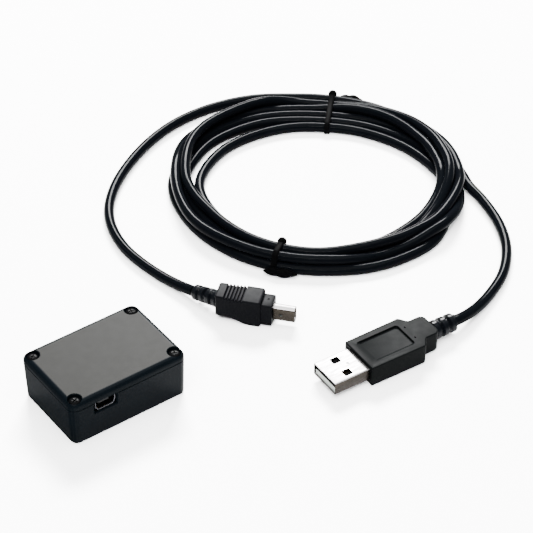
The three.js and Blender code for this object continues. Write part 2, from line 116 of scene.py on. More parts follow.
# Points along the route are STEP apart, and points within SAME_STRAND of each other never push apart.
STEP = 2.0
SAME_STRAND = 10
SPACING = 2 * CABLE_RADIUS + 0.02
LOWEST = CABLE_RADIUS + 0.01
SETTLE_ROUNDS = 250
PAIRS_EVERY = 10
SMOOTHING = 0.25
RETURN = 0.98


def on_coil(turns, radius, height):
    """A point so many turns on from the coil's back."""
    angle = math.radians(COIL_BACK - 360 * turns)
    return (COIL_CENTRE[0] + radius * math.cos(angle), COIL_CENTRE[1] + radius * math.sin(angle), height)


def smooth_line(points, step):
    """Points about step apart on the centripetal Catmull-Rom curve through the given ones."""
    points = [np.array(point, float) for point in points]
    points = [2 * points[0] - points[1], *points, 2 * points[-1] - points[-2]]
    line = []
    for p0, p1, p2, p3 in zip(points, points[1:], points[2:], points[3:]):
        t1 = np.linalg.norm(p1 - p0) ** 0.5
        t2 = t1 + np.linalg.norm(p2 - p1) ** 0.5
        t3 = t2 + np.linalg.norm(p3 - p2) ** 0.5
        count = max(2, int(np.linalg.norm(p2 - p1) / step))
        for t in np.linspace(t1, t2, count, endpoint=False):
            a1 = ((t1 - t) * p0 + t * p1) / t1
            a2 = ((t2 - t) * p1 + (t - t1) * p2) / (t2 - t1)
            a3 = ((t3 - t) * p2 + (t - t2) * p3) / (t3 - t2)
            b1 = ((t2 - t) * a1 + t * a2) / t2
            b2 = ((t3 - t) * a2 + (t - t1) * a3) / (t3 - t1)
            line.append(((t2 - t) * b1 + (t - t1) * b2) / (t2 - t1))
    line.append(points[-2])
    return np.array(line)


def even_line(line, step):
    """The same line with its points step apart."""
    reach = np.r_[0, np.cumsum(np.linalg.norm(np.diff(line, axis=0), axis=1))]
    marks = np.linspace(0, reach[-1], round(reach[-1] / step) + 1)
    return np.stack([np.interp(marks, reach, line[:, axis]) for axis in range(3)], axis=1)


def settle(line):
    """Moves strands that overlap a diameter apart, and keeps every strand smooth and on the table."""
    moved = np.zeros_like(line)
    place = np.arange(len(line))
    for settling in range(SETTLE_ROUNDS):
        now = line + moved
        if settling % PAIRS_EVERY == 0:
            apart = ((now[:, None] - now[None]) ** 2).sum(2)
            strangers = np.abs(place[:, None] - place) * STEP > SAME_STRAND
            pairs = np.nonzero(np.triu(strangers & (apart < (SPACING + 1) ** 2)))
        gap = now[pairs[0]] - now[pairs[1]]
        distance = np.sqrt((gap ** 2).sum(1)) + 1e-9
        tight = distance < SPACING
        first, second = pairs[0][tight], pairs[1][tight]
        shift = gap[tight] * ((SPACING / distance[tight] - 1) / 2)[:, None]
        push = np.zeros_like(line)
        count = np.zeros(len(line))
        for side, sign in ((first, 1), (second, -1)):
            np.add.at(push, side, sign * shift)
            np.add.at(count, side, 1)
        moved += push / np.maximum(count, 1)[:, None]
        moved[1:-1] += SMOOTHING * ((moved[:-2] + moved[2:]) / 2 - moved[1:-1])
        moved *= RETURN
        moved[:, 2] = np.maximum(moved[:, 2], LOWEST - line[:, 2])
        moved[[0, -1]] = 0
    return line + moved


def cable_route():
    """The cable's middle line, from the mini plug to the USB-A plug."""
    points = list(LEAD_MINI)
    for turn, stations in enumerate(TURNS):
        for station, (radius, height) in enumerate(stations):
            points.append(on_coil(turn + station / STATIONS, radius, height))
    points += [on_coil(len(TURNS) + turns, radius, height) for turns, radius, height in WAY_OUT]
    points += LEAD_A
    return settle(even_line(smooth_line(points, STEP / 3), STEP))


route = cable_route()

# ---- materials ----


def shader_of(made):
    return made.node_tree.nodes["Principled BSDF"]


def material(name, colour, roughness, metallic=0.0, specular=0.5):
    made = bpy.data.materials.new(name)
    made.use_nodes = True
    shader = shader_of(made)
    shader.inputs["Base Color"].default_value = (*colour, 1)
    shader.inputs["Roughness"].default_value = roughness
    shader.inputs["Metallic"].default_value = metallic
    shader.inputs["Specular IOR Level"].default_value = specular
    return made


def add_node(made, kind, **settings):
    """A new node, with each setting put on its property or else on its input of that name."""
    node = made.node_tree.nodes.new(kind)
    for key, value in settings.items():
        if hasattr(node, key):
            setattr(node, key, value)
        else:
            node.inputs[key.replace("_", " ")].default_value = value
    return node


def link(made, source, target):
    made.node_tree.links.new(source, target)


def place_of(made, stretch=(1, 1, 1)):
    """The place on the piece, stretched along its axes, for a texture to read."""
    coordinates = add_node(made, "ShaderNodeTexCoord")
    mapping = add_node(made, "ShaderNodeMapping")
    mapping.inputs["Scale"].default_value = stretch
    link(made, coordinates.outputs["Object"], mapping.inputs["Vector"])
    return mapping.outputs["Vector"]


def speckle(made, size, detail=2, stretch=(1, 1, 1)):
    """Noise with features of about size millimetres."""
    noise = add_node(made, "ShaderNodeTexNoise", Scale=1 / (size * MM), Detail=detail)
    link(made, place_of(made, stretch), noise.inputs["Vector"])
    return noise.outputs["Fac"]


def grain(made, size, depth, stretch=(1, 1, 1)):
    """Fine relief: bumps of size millimetres, depth millimetres high."""
    bump = add_node(made, "ShaderNodeBump", Strength=1.0, Distance=depth * MM)
    link(made, speckle(made, size, 3, stretch), bump.inputs["Height"])
    link(made, bump.outputs["Normal"], shader_of(made).inputs["Normal"])


def vary(made, socket, low, high, size, stretch=(1, 1, 1)):
    """Lets a shader value drift between low and high in patches of size millimetres."""
    spread = add_node(made, "ShaderNodeMapRange", From_Min=0.35, From_Max=0.65, To_Min=low, To_Max=high)
    link(made, speckle(made, size, 4, stretch), spread.inputs["Value"])
    link(made, spread.outputs["Result"], shader_of(made).inputs[socket])


def tint(made, first, second, size):
    """Mixes two colours in patches of size millimetres."""
    mix = add_node(made, "ShaderNodeMix", data_type="RGBA")
    mix.inputs[6].default_value = (*first, 1)
    mix.inputs[7].default_value = (*second, 1)
    link(made, speckle(made, size, 4), mix.inputs["Factor"])
    link(made, mix.outputs[2], shader_of(made).inputs["Base Color"])


def moulded(name, dark, light, roughness, size=0.16, depth=0.006, specular=0.5, drift=0.02):
    """A moulded plastic: eroded grain, with the gloss and colour drifting a little."""
    made = material(name, dark, roughness, specular=specular)
    tint(made, dark, light, 6)
    grain(made, size, depth)
    vary(made, "Roughness", roughness - drift, roughness + drift, 2.5)
    return made


def case_black(name, specular):
    return moulded(name, (0.0006, 0.001, 0.0014), (0.0008, 0.0014, 0.002), 0.34, depth=0.002, specular=specular)


def drawn_metal(name, colour, roughness, stretch):
    """Metal with fine lines drawn along it."""
    made = material(name, colour, roughness, metallic=1.0)
    grain(made, 0.12, 0.0015, stretch)
    vary(made, "Roughness", roughness - 0.07, roughness + 0.08, 0.6, stretch)
    return made


def board_material():
    """Solder mask over copper traces that run square to each other, all made near black as painted shade inside
    the closed box.
    """
    made = material("board_mask_painted_shade", (0.001, 0.004, 0.002), 0.35, specular=0.05)
    traces = add_node(made, "ShaderNodeTexBrick", Scale=1 / (9 * MM), Mortar_Size=0.035, Mortar_Smooth=0.1)
    traces.inputs["Color1"].default_value = (0.0008, 0.0034, 0.0017, 1)
    traces.inputs["Color2"].default_value = (0.001, 0.004, 0.002, 1)
    traces.inputs["Mortar"].default_value = (0.003, 0.012, 0.006, 1)
    link(made, place_of(made), traces.inputs["Vector"])
    link(made, traces.outputs["Color"], shader_of(made).inputs["Base Color"])
    bump = add_node(made, "ShaderNodeBump", Strength=0.6, Distance=0.03 * MM, invert=True)
    link(made, traces.outputs["Fac"], bump.inputs["Height"])
    link(made, bump.outputs["Normal"], shader_of(made).inputs["Normal"])
    return made


FINISH = {
    # The lid's flat top: its grain and gloss are the lid's own, its lighter, warmer black is painted sheen.
    "lid_top_painted_sheen": moulded("lid_satin_painted_sheen", (0.0025, 0.0025, 0.0021), (0.0029, 0.0029, 0.0024), 0.36, 0.2, 0.0025,
                       specular=0.0075, drift=0.007),
    "case": case_black("case_black", 0.0085),
    # The corner and end copies have less gloss, as painted shade on the sides that look along X.
    "case_corner_painted_shade": case_black("case_black_corner_painted_shade", 0.003),
    "case_end_painted_shade": case_black("case_black_end_painted_shade", 0.0008),
    "screw": moulded("screw_black_oxide", (0.0008, 0.0008, 0.0009), (0.0012, 0.0012, 0.0013), 0.2, 0.1, 0.001,
                     specular=0.0025),
    "shell": drawn_metal("plated_steel", (0.15, 0.145, 0.145), 0.4, (0.15, 1, 1)),
    # A darker copy of the plating, as painted shade on the shells' sides.
    "shell_side_painted_shade": drawn_metal("plated_steel_side_painted_shade", (0.013, 0.011, 0.009), 0.3, (0.15, 1, 1)),
    "port": drawn_metal("port_steel", (0.03, 0.03, 0.034), 0.3, (1, 0.15, 1)),
    "insert": moulded("insert_plastic", (0.1, 0.115, 0.1), (0.13, 0.145, 0.13), 0.45),
    "contact": drawn_metal("contact_gold", (0.3, 0.2, 0.08), 0.25, (0.2, 1, 1)),
    "plug": moulded("plug_pvc", (0.0009, 0.001, 0.0014), (0.0014, 0.0015, 0.0018), 0.42, 0.13, 0.003,
                    specular=0.0078),
    "plug_a": moulded("plug_a_pvc", (0.001, 0.0012, 0.0013), (0.0016, 0.0019, 0.0019), 0.42, 0.13, 0.004,
                      specular=0.0052),
    "sleeve": moulded("sleeve_pvc", (0.0008, 0.001, 0.0014), (0.0012, 0.0015, 0.002), 0.25, 0.3, 0.004,
                      specular=0.03),
    "jacket": moulded("jacket_pvc", (0.0006, 0.0008, 0.0011), (0.001, 0.0012, 0.0016), 0.09, 0.5, 0.0005,
                      specular=0.005),
    "tie": moulded("tie_plastic", (0.0005, 0.0005, 0.0006), (0.0008, 0.0008, 0.0008), 0.35, specular=0.001),
    "board": board_material(),
    "chip": moulded("chip_black", (0.003, 0.003, 0.0035), (0.005, 0.005, 0.0055), 0.5, 0.08, 0.004,
                    specular=0.1),
    "tin": drawn_metal("solder_tin", (0.3, 0.3, 0.29), 0.35, (1, 1, 1)),
    "ceramic": moulded("ceramic", (0.06, 0.04, 0.02), (0.08, 0.055, 0.03), 0.5, 0.1, 0.004),
    "lens": moulded("light_lens", (0.3, 0.33, 0.27), (0.35, 0.38, 0.32), 0.3, 0.1, 0.002),
}

# ---- mesh making ----


def round_outline(half_x, half_y, radius, steps=12):
    """A rectangle's outline with round corners, counter-clockwise."""
    points = []
    for quarter, (side_x, side_y) in enumerate(((1, 1), (-1, 1), (-1, -1), (1, -1))):
        for step in range(steps + 1):
            angle = math.pi / 2 * (quarter + step / steps)
            points.append((side_x * (half_x - radius) + radius * math.cos(angle),
                           side_y * (half_y - radius) + radius * math.sin(angle)))
    return points


def round_corners(points, radius, steps=6):
    """A polygon's outline with each corner cut round, radius back from the corner."""
    outline = []
    for before, corner, after in zip(points[-1:] + points[:-1], points, points[1:] + points[:1]):
        corner = Vector(corner)
        back, on = Vector(before) - corner, Vector(after) - corner
        start = corner + back.normalized() * min(radius, back.length * 0.48)
        end = corner + on.normalized() * min(radius, on.length * 0.48)
        for step in range(steps + 1):
            t = step / steps
            outline.append(tuple((1 - t) ** 2 * start + 2 * t * (1 - t) * corner + t ** 2 * end))
    return outline


def inset_outline(points, depth):
    """The outline moved inward by depth along its own normals."""
    moved = []
    for before, point, after in zip(points[-1:] + points[:-1], points, points[1:] + points[:1]):
        along = (Vector(after) - Vector(before)).normalized()
        moved.append((point[0] - along.y * depth, point[1] + along.x * depth))
    return moved


def quarter_round(radius, steps=6):
    """(inset, rise) pairs of a round edge, from the wall to the top."""
    turns = [math.pi / 2 * step / steps for step in range(steps + 1)]
    return [(radius * (1 - math.cos(turn)), radius * math.sin(turn)) for turn in turns]


def loft(rings, ends=True):
    """A skin through rings of equal length, closed by flat ends or joined back to the first ring."""
    count = len(rings[0])
    rows = len(rings)
    vertices = [tuple(point) for ring in rings for point in ring]
    faces = []
    for row in range(rows - 1 if ends else rows):
        here, there = row * count, (row + 1) % rows * count
        for i in range(count):
            j = (i + 1) % count
            faces.append((here + i, here + j, there + j, there + i))
    if ends:
        faces.append(tuple(reversed(range(count))))
        faces.append(tuple(range((rows - 1) * count, rows * count)))
    return vertices, faces


def stacked(outline_at, profile):
    """Rings of an outline at each (inset, height) of a profile."""
    return [[(x, y, height) for x, y in outline_at(inset)] for inset, height in profile]


def lathe(profile, sides=40):
    """Turns (radius, height) pairs about the Z axis."""
    turns = [2 * math.pi * i / sides for i in range(sides)]
    return loft([[(radius * math.cos(turn), radius * math.sin(turn), height) for turn in turns]
                 for radius, height in profile])


def block(low, high):
    """A box between two corners."""
    rings = [[(low[0], low[1], z), (high[0], low[1], z), (high[0], high[1], z), (low[0], high[1], z)]
             for z in (low[2], high[2])]
    return loft(rings)


def moved_shape(shape, place):
    vertices, faces = shape
    return [tuple(place @ Vector(vertex)) for vertex in vertices], faces


def shift(x, y, z):
    return Matrix.Translation((x, y, z))


def turn_about(degrees, axis):
    return Matrix.Rotation(math.radians(degrees), 4, axis)


def joined(*shapes):
    """Separate shapes as one mesh."""
    vertices, faces = [], []
    for more_vertices, more_faces in shapes:
        faces += [tuple(i + len(vertices) for i in face) for face in more_faces]
        vertices += more_vertices
    return vertices, faces


def to_object(name, shape):
    mesh = bpy.data.meshes.new(name)
    mesh.from_pydata([tuple(Vector(vertex) * MM) for vertex in shape[0]], [], shape[1])
    made = bpy.data.objects.new(name, mesh)
    scene.collection.objects.link(made)
    return made


def carve(target, tools, operation="DIFFERENCE"):
    """Cuts shapes out of a piece, or joins them to it, for good."""
    for shape in tools:
        tool = to_object("tool", shape)
        change = target.modifiers.new("carve", "BOOLEAN")
        change.operation = operation
        change.solver = "EXACT"
        change.object = tool
        depsgraph = bpy.context.evaluated_depsgraph_get()
        result = bpy.data.meshes.new_from_object(target.evaluated_get(depsgraph))
        target.modifiers.clear()
        target.data = result
        bpy.data.objects.remove(tool)
    return target


# Plain nodes keep every edge that turns by more than this many degrees.
NODE_SHARP = 40


def dress(piece, finish, sharp=32):
    """Gives a piece its material, and smooth shading but for edges sharper than so many degrees."""
    piece.data.materials.clear()
    piece.data.materials.append(FINISH[finish])
    if piece.type == "MESH":
        piece.data.shade_smooth()
        piece.data.set_sharp_from_angle(angle=math.radians(sharp))
    return piece


def settle_in(piece, body, slot, *stands_for):
    """Puts a piece on its body and in place of its CAD nodes; slot is not used."""
    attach(piece, body)
    if stands_for:
        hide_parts(*stands_for)
    return piece


def soften(piece, width):
    """Rounds a plain node's edges by width millimetres."""
    edge = piece.modifiers.new("edge", "BEVEL")
    edge.width = width * MM
    edge.segments = 3
    edge.limit_method = "ANGLE"
    edge.angle_limit = math.radians(NODE_SHARP)


def place_piece(shape, place, name):
    return to_object(name, moved_shape(shape, place))


def move_mesh(piece, place):
    """Moves a finished mesh by a matrix in millimetres."""
    piece.data.transform(Matrix.Scale(MM, 4) @ place @ Matrix.Scale(1 / MM, 4))


# ---- box ----

LENGTH, WIDTH, HEIGHT = 42, 30, 16.5
CORNER, SMALLEST_CORNER = 2.8, 0.4
DRAFT = 0.45
FLOOR_EDGE = 0.6
WALL = 2
LID_BOTTOM = 13.8
BASE_TOP = 13.65
LID_EDGE = 1.8
SEAM = 0.12
LIP = {"inset": 0.4, "thick": 1.1, "half_x": 15, "half_y": 9}
SCREW_X, SCREW_Y = 18.1, 12.1
SCREW_HOLE = 1.15
BOSS_RADIUS = 2.5
RECESS_FLOOR = 15.0
RECESS_RADIUS, RECESS_MOUTH = 2.2, 0.35
POST_X, POST_Y = 13.2, 9.4
POST_RADIUS, POST_FOOT, POST_TOP = 2.1, 2.3, 8.3
BOARD_TOP = 10
# How far a face must turn towards X to take the painted shade of the case's corners, and of its ends.
CORNER_TURN, END_TURN = 0.6, 0.88
# Material slots: the case, its corners and ends with painted shade, and the lid top with painted sheen.
CASE, CASE_CORNER_SHADED, CASE_END_SHADED, LID_TOP_SHEEN = range(4)
CORNERS = {"front_left": (-1, -1), "front_right": (1, -1), "back_right": (1, 1), "back_left": (-1, 1)}
PORT_X, PORT_HALF, PORT_BOTTOM = -8.9, 4, 9.6


def box_outline(inset):
    return round_outline(LENGTH / 2 - inset, WIDTH / 2 - inset, max(CORNER - inset, SMALLEST_CORNER))


def at_corners(shape, out_x=SCREW_X, out_y=SCREW_Y):
    """The shape four times, out towards the box's corners."""
    return [moved_shape(shape, shift(x * out_x, y * out_y, 0)) for x, y in CORNERS.values()]


def paint_shade_on_ends(piece):
    """Paints shade on the faces that look along X with a darker, less glossy copy of the case black, and on the
    corners with one between.
    """
    for finish in ("case_corner_painted_shade", "case_end_painted_shade"):
        piece.data.materials.append(FINISH[finish])
    for face in piece.data.polygons:
        sideways = abs(face.normal.x)
        if sideways > END_TURN:
            face.material_index = CASE_END_SHADED
        elif sideways > CORNER_TURN:
            face.material_index = CASE_CORNER_SHADED
        else:
            face.material_index = CASE


def make_lid():
    """The lid, its lip inside the walls, and a recess with a hole at each corner."""
    wall_top = HEIGHT - LID_EDGE
    profile = [(SEAM, LID_BOTTOM), (0, LID_BOTTOM + SEAM)]
    profile += [(inset, wall_top + rise) for inset, rise in quarter_round(LID_EDGE, 10)]
    lid = to_object("lid_shell", loft(stacked(box_outline, profile)))
    lip_x, lip_y = LENGTH / 2 - WALL - LIP["inset"], WIDTH / 2 - WALL - LIP["inset"]
    low, high = LID_BOTTOM - 1, LID_BOTTOM + 0.5
    thick, half_x, half_y = LIP["thick"], LIP["half_x"], LIP["half_y"]
    past_port = PORT_X + PORT_HALF + 0.9
    rails = [block((-half_x, lip_y - thick, low), (half_x, lip_y, high)),
             block((past_port, -lip_y, low), (half_x, -lip_y + thick, high)),
             block((lip_x - thick, -half_y, low), (lip_x, half_y, high)),
             block((-lip_x, -half_y, low), (-lip_x + thick, half_y, high))]
    carve(lid, rails, "UNION")
    mouth = RECESS_RADIUS + RECESS_MOUTH
    recess = lathe([(RECESS_RADIUS - 0.1, RECESS_FLOOR), (RECESS_RADIUS, RECESS_FLOOR + 0.1),
                    (RECESS_RADIUS, HEIGHT - 0.25), (mouth, HEIGHT + 0.1), (mouth, HEIGHT + 1)], 48)
    hole = lathe([(SCREW_HOLE, LID_BOTTOM - 1), (SCREW_HOLE, RECESS_FLOOR + 0.5)], 32)
    carve(lid, at_corners(recess) + at_corners(hole))
    dress(lid, "case", 25)
    # The lid's ends and corners take painted shade.
    paint_shade_on_ends(lid)
    # The flat top takes the lighter black, as painted sheen.
    lid.data.materials.append(FINISH["lid_top_painted_sheen"])
    for face in lid.data.polygons:
        if face.normal.z > 0.99 and face.center.z > (HEIGHT - 0.01) * MM:
            face.material_index = LID_TOP_SHEEN
    return settle_in(lid, "lid", "lid_plastic", "enclosure_lid")


def make_base():
    """The base with its drafted walls, screw bosses, board posts and port opening."""
    def drafted(inset, height):
        return inset + DRAFT * (1 - height / BASE_TOP), height

    profile = [drafted(inset, FLOOR_EDGE - rise) for inset, rise in reversed(quarter_round(FLOOR_EDGE))]
    profile += [drafted(0, BASE_TOP / 2), drafted(0, BASE_TOP - SEAM), drafted(SEAM, BASE_TOP)]
    rings = stacked(box_outline, profile)
    inside = round_outline(LENGTH / 2 - WALL, WIDTH / 2 - WALL, 1)
    rings += [[(x, y, z) for x, y in inside] for z in (BASE_TOP, WALL)]
    base = to_object("base_shell", loft(rings))
    boss = lathe([(BOSS_RADIUS, 1), (BOSS_RADIUS, BASE_TOP - 0.02)], 32)
    post = lathe([(POST_FOOT, 1), (POST_RADIUS, WALL + 0.4), (POST_RADIUS, POST_TOP)], 32)
    carve(base, at_corners(boss) + at_corners(post, POST_X, POST_Y), "UNION")
    carve(base, at_corners(lathe([(SCREW_HOLE, 4.5), (SCREW_HOLE, BASE_TOP + 1)], 24)))
    front = -WIDTH / 2

    def opening(grow, y):
        low, high = PORT_BOTTOM - grow, BASE_TOP + 1
        left, right = PORT_X - PORT_HALF - grow, PORT_X + PORT_HALF + grow
        return [(left, y, low), (right, y, low), (right, y, high), (left, y, high)]

    slot = loft([opening(1.2, front - 0.6), opening(0.35, front + 0.08), opening(0, front + 0.45),
                 opening(0, front + 2.6)])
    carve(base, [(slot[0], [tuple(reversed(face)) for face in slot[1]])])
    dress(base, "case", 25)
    # The base's ends and corners take painted shade.
    paint_shade_on_ends(base)
    return settle_in(base, "housing", "case_plastic", "enclosure_base")


THREAD_PITCH, THREAD_ROOT = 0.7, 0.82


def screw_shape(radius, height, shank, length):
    """A domed screw, its head's underside at height 0."""
    dome = [(radius * 0.94, 0), (radius, height * 0.12), (radius, height * 0.5), (radius * 0.93, height * 0.75),
            (radius * 0.78, height * 0.92), (radius * 0.55, height), (radius * 0.02, height)]
    ridges = []
    for i in range(int(length / THREAD_PITCH)):
        z = -length + 0.6 + THREAD_PITCH * i
        ridges += [(shank * THREAD_ROOT, z), (shank, z + THREAD_PITCH / 2)]
    return lathe([(0.05, -length), *ridges, (shank * THREAD_ROOT, 0), *dome], 40)


def make_screw(name, place, size, body, node, turned_by):
    """A screw with a cross recess; its size is (head radius, head height, shank radius, shank length)."""
    screw = to_object(name, screw_shape(*size))
    radius, height = size[:2]
    arm, half, depth, narrowing = radius * 0.62, radius * 0.13, height * 0.6, 0.55

    def bar(half_x, half_y):
        top = [(-half_x, -half_y), (half_x, -half_y), (half_x, half_y), (-half_x, half_y)]
        tip = [(x * narrowing, y * narrowing) for x, y in top]
        return loft([[(x, y, height - depth) for x, y in tip], [(x, y, height + 0.1) for x, y in top]])

    carve(screw, [bar(arm, half), bar(half, arm)])
    move_mesh(screw, shift(*place) @ turn_about(turned_by, "Z"))
    dress(screw, "screw")
    return settle_in(screw, body, "screw_steel", node)


# Head radius, head height, shank radius and shank length, and how far each lid screw is turned.
LID_SCREW = (1.75, 0.8, 0.8, 8.5)
BOARD_SCREW = (1.7, 1.1, 0.75, 4.5)
LID_SCREW_TURNS = (20, 65, -12, 38)


def make_lid_screws():
    for (name, (x, y)), turned_by in zip(CORNERS.items(), LID_SCREW_TURNS):
        make_screw(f"screw_{name}", (x * SCREW_X, y * SCREW_Y, RECESS_FLOOR + 0.1), LID_SCREW, "lid",
                   f"lid_screw_{name}", turned_by)


def make_board_screws():
    for side, x, y in (("left", -1, 1), ("right", 1, -1)):
        make_screw(f"board_fixing_{side}", (x * POST_X, y * POST_Y, BOARD_TOP + 0.1), BOARD_SCREW, "housing",
                   f"board_screw_{side}", 30 * x)


make_lid()
make_base()
make_lid_screws()
make_board_screws()

# ---- circuit board and port ----

BOARD_NODES = {"circuit_board": "board", "microcontroller": "chip", "usb_bridge_chip": "chip",
               "voltage_regulator": "chip", "crystal": "tin", "status_light": "lens"}
# The bodies of the parts whose legs stick out, by length and width.
LEGGED = {"microcontroller": (7, 7), "usb_bridge_chip": (5.3, 7.2), "voltage_regulator": (3.5, 6.5)}
SMALL_PARTS = {"capacitor": "ceramic", "resistor": "chip"}
EACH_KIND = range(1, 5)
CAP_SHARE, CAP_THICK = 0.22, 0.06
PAD_LONG, PAD_WIDE, PAD_LOW, PAD_HIGH = 0.35, 0.15, 0.01, 0.06


def dress_board():
    """Materials and soft edges for the board and its parts, with tinned legs on the chips."""
    for name, finish in BOARD_NODES.items():
        dress(nodes[name], finish, NODE_SHARP)
        soften(nodes[name], 0.12)
    for kind, finish in SMALL_PARTS.items():
        for i in EACH_KIND:
            part = nodes[f"{kind}_{i}"]
            dress(part, finish, NODE_SHARP)
            soften(part, 0.08)
    for name, (long_x, long_y) in LEGGED.items():
        part = nodes[name]
        low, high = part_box(name)
        middle = (low + high) / 2
        part.data.materials.append(FINISH["tin"])
        for face in part.data.polygons:
            off = face.center - middle
            if abs(off.x) > (long_x / 2 + 0.02) * MM or abs(off.y) > (long_y / 2 + 0.02) * MM:
                face.material_index = 1


def end_caps():
    """Tinned ends on the small parts, and a solder pad under each end."""
    for kind in SMALL_PARTS:
        for i in EACH_KIND:
            low, high = (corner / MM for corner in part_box(f"{kind}_{i}"))
            cap = CAP_SHARE * (high.x - low.x)
            shapes = []
            for start in (low.x - CAP_THICK, high.x - cap):
                end = start + cap + CAP_THICK
                shapes.append(block((start, low.y - CAP_THICK, low.z),
                                    (end, high.y + CAP_THICK, high.z + CAP_THICK)))
                shapes.append(block((start - PAD_LONG, low.y - PAD_WIDE, BOARD_TOP + PAD_LOW),
                                    (end, high.y + PAD_WIDE, BOARD_TOP + PAD_HIGH)))
            caps = dress(to_object(f"{kind}_ends_{i}", joined(*shapes)), "tin")
            soften(caps, 0.05)
            settle_in(caps, "housing", "screw_steel")


# The port's shell in section, by (x, height) from the middle of its underside.
RECEPTACLE = [(-3.65, 3.6), (-3.65, 1.4), (-2.85, 0), (2.85, 0), (3.65, 1.4), (3.65, 3.6)]
SHELL_WALL = 0.35
PORT_FACE, PORT_BACK, PORT_LEVEL = -14.5, -4.5, 10.1
PINS, PIN_PITCH, PIN_WIDTH, PIN_LOW, PIN_HIGH = 5, 0.65, 0.32, 11.28, 11.42


def make_receptacle():
    """The port's metal shell and the contacts on its tongue."""
    outer = round_corners(RECEPTACLE, 0.5)
    inner = inset_outline(outer, SHELL_WALL)

    def ring(outline, y):
        return [(PORT_X + x, y, PORT_LEVEL + z) for x, z in outline]

    rings = [ring(inset_outline(outer, 0.1), PORT_FACE), ring(outer, PORT_FACE + 0.12), ring(outer, PORT_BACK),
             ring(inner, PORT_BACK), ring(inner, PORT_FACE + 0.1),
             ring(inset_outline(outer, SHELL_WALL - 0.08), PORT_FACE)]
    shell = dress(to_object("port_shell", loft(rings, ends=False)), "port")
    settle_in(shell, "housing", "plated_steel", "usb_receptacle_shell")
    dress(nodes["usb_receptacle_tongue"], "chip", NODE_SHARP)
    soften(nodes["usb_receptacle_tongue"], 0.1)
    pins = []
    for i in range(PINS):
        left = PORT_X - 1.5 + PIN_PITCH * i
        pins.append(block((left, PORT_FACE + 1.5, PIN_LOW), (left + PIN_WIDTH, PORT_BACK - 3, PIN_HIGH)))
    settle_in(dress(to_object("port_contacts", joined(*pins)), "contact"), "housing", "contact_gold")


dress_board()
end_caps()
make_receptacle()

# ---- USB-A plug ----

# Each plug's own frame has X from its tip back to the cable.
PLUG_A_PLACE = shift(56.2, -38.5, 0) @ turn_about(-3, "Z")
PLUG_B_PLACE = shift(66.9, -8.95, 0) @ turn_about(130.7, "Z")
AXIS_A, AXIS_B = 4, 4.3
PLUG_A_FRONT, PLUG_A_REAR = 12.8, 41
PLUG_A_BOTTOM, PLUG_A_TOP = 0.3, 7.7
# Half its width at the front, how much it widens, and half its neck; then where the neck begins and how soon.
HALF_FRONT, WIDENING, HALF_NECK = 7.6, 0.2, 4.9
SHOULDER, SHOULDER_LONG = 32.9, 2.9
WINDOW_X, WINDOW_Y = 6.3, 3.25
PANEL_X = 23.2
CONTACTS = [f"usb_a_contact_{i}" for i in range(1, 5)]


def across(outline, x, axis):
    """A ring of a (y, z) outline standing square to the plug's length."""
    return [(x, y, axis + z) for y, z in outline]


def metal_shell(outline, axis, length, wall, lip):
    """A folded sheet tube from its rolled front edge to its end."""
    section = [(0.45, 0), (0.1, lip * 0.3), (0, lip), (0, length), (1, length), (1, lip), (0.8, lip * 0.2)]
    rings = [across(inset_outline(outline, wall * depth), x, axis) for depth, x in section]
    return loft(rings, ends=False)


# Faces that look up or down less than this take the shells' painted shade.
FLAT_TURN = 0.6


def dress_shell(shell):
    """Bright plating on faces that look up or down; the folded sides, inside and out, take a darker copy of it
    as painted shade.
    """
    dress(shell, "shell")
    shell.data.materials.append(FINISH["shell_side_painted_shade"])
    for face in shell.data.polygons:
        if abs(face.normal.z) < FLAT_TURN:
            face.material_index = 1


def make_plug_a_shell():
    """The USB-A plug's metal shell with its two windows and its latch hole."""
    outline = round_outline(6, 2.25, 0.55, 6)
    shell = to_object("plug_a_shell", metal_shell(outline, AXIS_A, 15, 0.35, 0.35))
    windows = []
    for side in (-1, 1):
        corners = [(x + WINDOW_X, y + side * WINDOW_Y) for x, y in round_outline(1.45, 1.35, 0.45, 4)]
        windows.append(loft([[(x, y, z) for x, y in corners] for z in (-2, 10)]))
    latch = block((8.4, -0.5, 6), (9.2, 0.5, 10))
    carve(shell, [*windows, latch])
    move_mesh(shell, PLUG_A_PLACE)
    dress_shell(shell)
    return settle_in(shell, "usb_cable", "plated_steel", "usb_a_shell")


def plug_a_half_width(x):
    """Half the moulded body's width: widening to the shoulder, then stepping in to the neck."""
    wide = HALF_FRONT + WIDENING * min((x - PLUG_A_FRONT) / 20, 1)
    step = min(max((x - SHOULDER) / SHOULDER_LONG, 0), 1)
    wide += (HALF_NECK - wide) * step * step * (3 - 2 * step)
    for inward, radius in ((x - PLUG_A_FRONT, 0.5), (PLUG_A_REAR - x, 2)):
        if inward < radius:
            wide -= radius - math.sqrt(radius ** 2 - (radius - inward) ** 2)
    return wide


def plug_a_outline():
    """The moulded body seen from above, closely spaced where it curves."""
    ends = [0, 0.04, 0.1, 0.2, 0.35, 0.55, 0.8, 1.2, 1.6, 2]
    places = [PLUG_A_FRONT + end for end in ends] + [15.6 + i for i in range(17)]
    places += [SHOULDER + SHOULDER_LONG * i / 10 for i in range(11)] + [36.8, 37.9]
    places += [PLUG_A_REAR - end for end in reversed(ends)]
    right = [(x, -plug_a_half_width(x)) for x in places]
    return right + [(x, -y) for x, y in reversed(right)]


